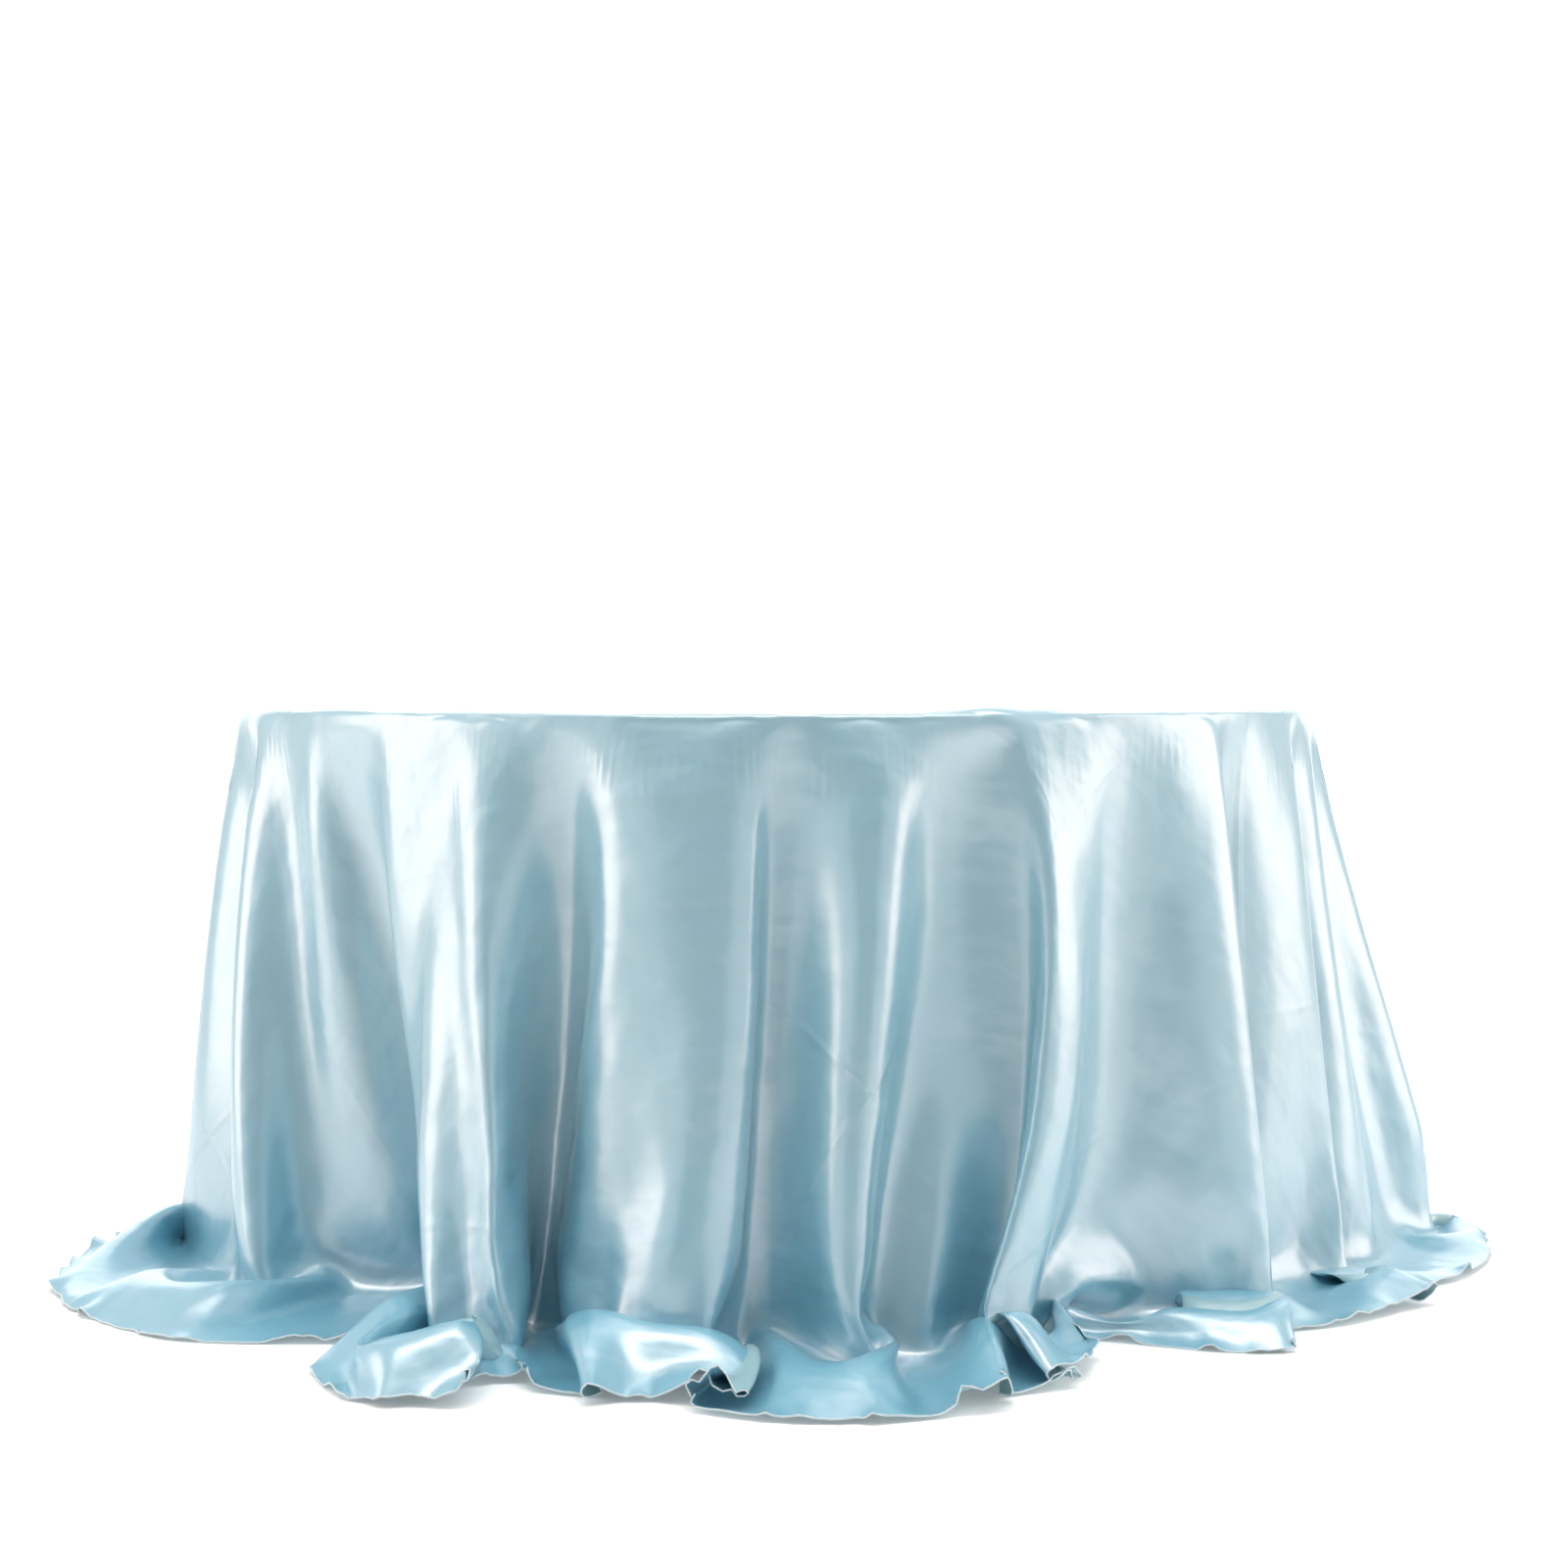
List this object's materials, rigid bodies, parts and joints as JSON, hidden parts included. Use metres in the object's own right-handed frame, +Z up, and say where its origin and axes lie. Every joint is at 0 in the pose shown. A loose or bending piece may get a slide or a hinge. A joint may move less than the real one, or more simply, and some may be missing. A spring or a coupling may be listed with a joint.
{
  "type": "tablecloth on a table",
  "caption": "Round satin tablecloth in deep folds over a round folding table, long enough to pool on the floor all round.",
  "frame": {"origin": "on the floor, under the middle of the table", "axes": "+Z up; -Y towards the front, the side the picture was taken from; +X to its right, along the table's rails"},
  "size_m": [2.1838, 2.184, 0.75],
  "materials": {
    "plywood": "clear-sealed birch plywood",
    "vinyl": "moulded vinyl edge band",
    "painted_steel": "grey hammertone powder coat",
    "zinc_steel": "bright zinc plating",
    "rubber": "moulded black rubber",
    "satin": "pale blue polyester satin, glossy face, dull reverse",
    "hem_thread": "narrow rolled hem sewn with pale thread"
  },
  "bodies": {
    "table": {"table_top": "plywood", "edge_band": "vinyl", "rail_front": "painted_steel", "rail_rear": "painted_steel", "rail_screws": "zinc_steel", "brace_bracket_right": "zinc_steel", "brace_bracket_left": "zinc_steel", "bracket_screws": "zinc_steel"},
    "right_leg": {"right_hinge_bar": "painted_steel", "right_leg_front": "painted_steel", "right_leg_rear": "painted_steel", "right_cross_bar": "painted_steel", "right_foot_caps": "rubber"},
    "left_leg": {"left_hinge_bar": "painted_steel", "left_leg_front": "painted_steel", "left_leg_rear": "painted_steel", "left_cross_bar": "painted_steel", "left_foot_caps": "rubber"},
    "right_upper_link": {"right_upper_brace": "zinc_steel", "right_knee_rivet": "zinc_steel"},
    "right_lower_link": {"right_lower_brace": "zinc_steel"},
    "left_upper_link": {"left_upper_brace": "zinc_steel", "left_knee_rivet": "zinc_steel"},
    "left_lower_link": {"left_lower_brace": "zinc_steel"},
    "cloth": {"tablecloth": "satin", "rolled_hem": "hem_thread"}
  },
  "joints": [
    {"name": "right_leg_fold", "type": "hinge", "parent": "table", "child": "right_leg", "pos_m": [0.43, 0, 0.705], "axis": [0, 1, 0], "range_deg": [0, 90]},
    {"name": "left_leg_fold", "type": "hinge", "parent": "table", "child": "left_leg", "pos_m": [-0.43, 0, 0.705], "axis": [0, -1, 0], "range_deg": [0, 90]},
    {"name": "right_upper_brace_turn", "type": "hinge", "parent": "table", "child": "right_upper_link", "pos_m": [0.03, 0.056, 0.705], "axis": [0, 1, 0], "range_deg": [0, 162]},
    {"name": "right_lower_brace_turn", "type": "hinge", "parent": "right_leg", "child": "right_lower_link", "pos_m": [0.43, 0.064, 0.575], "axis": [0, 1, 0], "range_deg": [-108, 0]},
    {"name": "left_upper_brace_turn", "type": "hinge", "parent": "table", "child": "left_upper_link", "pos_m": [-0.03, -0.056, 0.705], "axis": [0, -1, 0], "range_deg": [0, 162]},
    {"name": "left_lower_brace_turn", "type": "hinge", "parent": "left_leg", "child": "left_lower_link", "pos_m": [-0.43, -0.064, 0.575], "axis": [0, -1, 0], "range_deg": [-108, 0]},
    {"name": "cloth_lift", "type": "slide", "parent": "table", "child": "cloth", "axis": [0, 0, 1], "range_m": [0, 0.8]}
  ],
  "couplings": [
    {"joint": "right_upper_brace_turn", "follows": "right_leg_fold", "ratio": 1.8},
    {"joint": "right_lower_brace_turn", "follows": "right_leg_fold", "ratio": -1.2},
    {"joint": "left_upper_brace_turn", "follows": "left_leg_fold", "ratio": 1.8},
    {"joint": "left_lower_brace_turn", "follows": "left_leg_fold", "ratio": -1.2}
  ]
}
